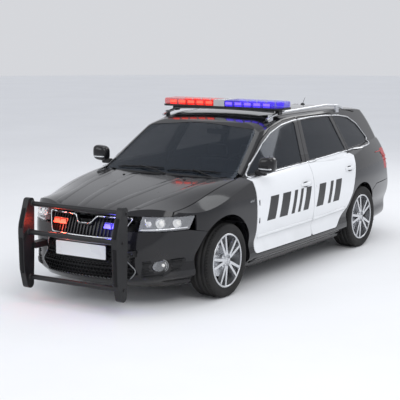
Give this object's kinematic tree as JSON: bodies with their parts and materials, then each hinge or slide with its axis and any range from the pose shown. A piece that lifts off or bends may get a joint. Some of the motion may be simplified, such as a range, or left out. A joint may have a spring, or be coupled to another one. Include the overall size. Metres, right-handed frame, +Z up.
{
  "type": "police patrol car",
  "caption": "Estate patrol car with opening doors, hood and tailgate, steered front wheels, a roof light bar and a push bumper in front.",
  "frame": {"origin": "on the ground, under the middle of the car's overall length", "axes": "+X forward, +Y to the car's left, +Z up"},
  "size_m": [4.8449, 2.004, 1.5799],
  "materials": {
    "body_black": "gloss",
    "door_white": "gloss",
    "black_plastic": "matt",
    "clear_lens": "clear",
    "red_lens": "gloss",
    "blue_lens": "gloss",
    "window_glass": "clear",
    "rail_aluminium": "satin",
    "coated_steel": "satin",
    "chassis_steel": "satin",
    "exhaust_steel": "satin",
    "cast_aluminium": "rough",
    "seat_fabric": "woven",
    "wheel_grip": "satin",
    "cast_iron": "rough",
    "tyre_rubber": "matt",
    "alloy": "satin"
  },
  "bodies": {
    "car": {"body_shell": "body_black", "front_fenders": "body_black", "front_bumper": "body_black", "rear_bumper": "body_black", "upper_grille": "black_plastic", "lower_grille": "black_plastic", "front_lamps": "clear_lens", "tail_lamps": "red_lens", "windscreen": "window_glass", "quarter_glass": "window_glass", "roof_rails": "rail_aluminium", "light_bar_base": "black_plastic", "light_bar_blue": "blue_lens", "light_bar_red": "red_lens", "push_bumper": "coated_steel", "strobes_blue": "blue_lens", "strobes_red": "red_lens", "front_subframe": "chassis_steel", "rear_axle": "chassis_steel", "exhaust": "exhaust_steel", "engine_block": "cast_aluminium", "front_seats": "seat_fabric", "rear_bench": "seat_fabric", "dashboard": "black_plastic"},
    "hood": {"hood": "body_black"},
    "tailgate": {"tailgate": "body_black", "tailgate_glass": "window_glass", "tailgate_lamps": "red_lens"},
    "steering_wheel": {"steering_wheel": "wheel_grip"},
    "front_door_left": {"front_door_left": "door_white", "front_glass_left": "window_glass", "mirror_left": "body_black"},
    "rear_door_left": {"rear_door_left": "door_white", "rear_glass_left": "window_glass"},
    "knuckle_left": {"knuckle_left": "cast_iron"},
    "wheel_front_left": {"tyre_front_left": "tyre_rubber", "rim_front_left": "alloy"},
    "wheel_rear_left": {"tyre_rear_left": "tyre_rubber", "rim_rear_left": "alloy"},
    "front_door_right": {"front_door_right": "door_white", "front_glass_right": "window_glass", "mirror_right": "body_black"},
    "rear_door_right": {"rear_door_right": "door_white", "rear_glass_right": "window_glass"},
    "knuckle_right": {"knuckle_right": "cast_iron"},
    "wheel_front_right": {"tyre_front_right": "tyre_rubber", "rim_front_right": "alloy"},
    "wheel_rear_right": {"tyre_rear_right": "tyre_rubber", "rim_rear_right": "alloy"}
  },
  "joints": [
    {"name": "front_door_left_swing", "type": "hinge", "parent": "car", "child": "front_door_left", "pos_m": [0.836, 0.89, 0.67], "axis": [0, 0, -1], "range_deg": [0, 68]},
    {"name": "rear_door_left_swing", "type": "hinge", "parent": "car", "child": "rear_door_left", "pos_m": [-0.247, 0.89, 0.67], "axis": [0, 0, -1], "range_deg": [0, 68]},
    {"name": "front_door_right_swing", "type": "hinge", "parent": "car", "child": "front_door_right", "pos_m": [0.836, -0.89, 0.67], "axis": [0, 0, 1], "range_deg": [0, 68]},
    {"name": "rear_door_right_swing", "type": "hinge", "parent": "car", "child": "rear_door_right", "pos_m": [-0.247, -0.89, 0.67], "axis": [0, 0, 1], "range_deg": [0, 68]},
    {"name": "steer_left", "type": "hinge", "parent": "car", "child": "knuckle_left", "pos_m": [1.342, 0.725, 0.16], "axis": [0, -0.2496, 0.9683], "range_deg": [-34, 34]},
    {"name": "wheel_front_left_spin", "type": "hinge", "parent": "knuckle_left", "child": "wheel_front_left", "pos_m": [1.342, 0.7745, 0.318], "axis": [0, 1, 0], "continuous": true},
    {"name": "wheel_rear_left_spin", "type": "hinge", "parent": "car", "child": "wheel_rear_left", "pos_m": [-1.344, 0.77, 0.318], "axis": [0, 1, 0], "continuous": true},
    {"name": "steer_right", "type": "hinge", "parent": "car", "child": "knuckle_right", "pos_m": [1.342, -0.725, 0.16], "axis": [0, 0.2496, 0.9683], "range_deg": [-34, 34]},
    {"name": "wheel_front_right_spin", "type": "hinge", "parent": "knuckle_right", "child": "wheel_front_right", "pos_m": [1.342, -0.7745, 0.318], "axis": [0, 1, 0], "continuous": true},
    {"name": "wheel_rear_right_spin", "type": "hinge", "parent": "car", "child": "wheel_rear_right", "pos_m": [-1.344, -0.77, 0.318], "axis": [0, 1, 0], "continuous": true},
    {"name": "hood_lift", "type": "hinge", "parent": "car", "child": "hood", "pos_m": [0.99, 0, 0.946], "axis": [0, -1, 0], "range_deg": [0, 50]},
    {"name": "tailgate_lift", "type": "hinge", "parent": "car", "child": "tailgate", "pos_m": [-1.904, 0, 1.409], "axis": [0, 1, 0], "range_deg": [0, 80]},
    {"name": "steering_wheel_turn", "type": "hinge", "parent": "car", "child": "steering_wheel", "pos_m": [0.222, 0.37, 0.925], "axis": [-0.9135, 0, 0.4067], "range_deg": [-510, 510]}
  ],
  "couplings": [
    {"joint": "steer_right", "follows": "steer_left", "ratio": 1},
    {"joint": "steering_wheel_turn", "follows": "steer_left", "ratio": 15}
  ]
}
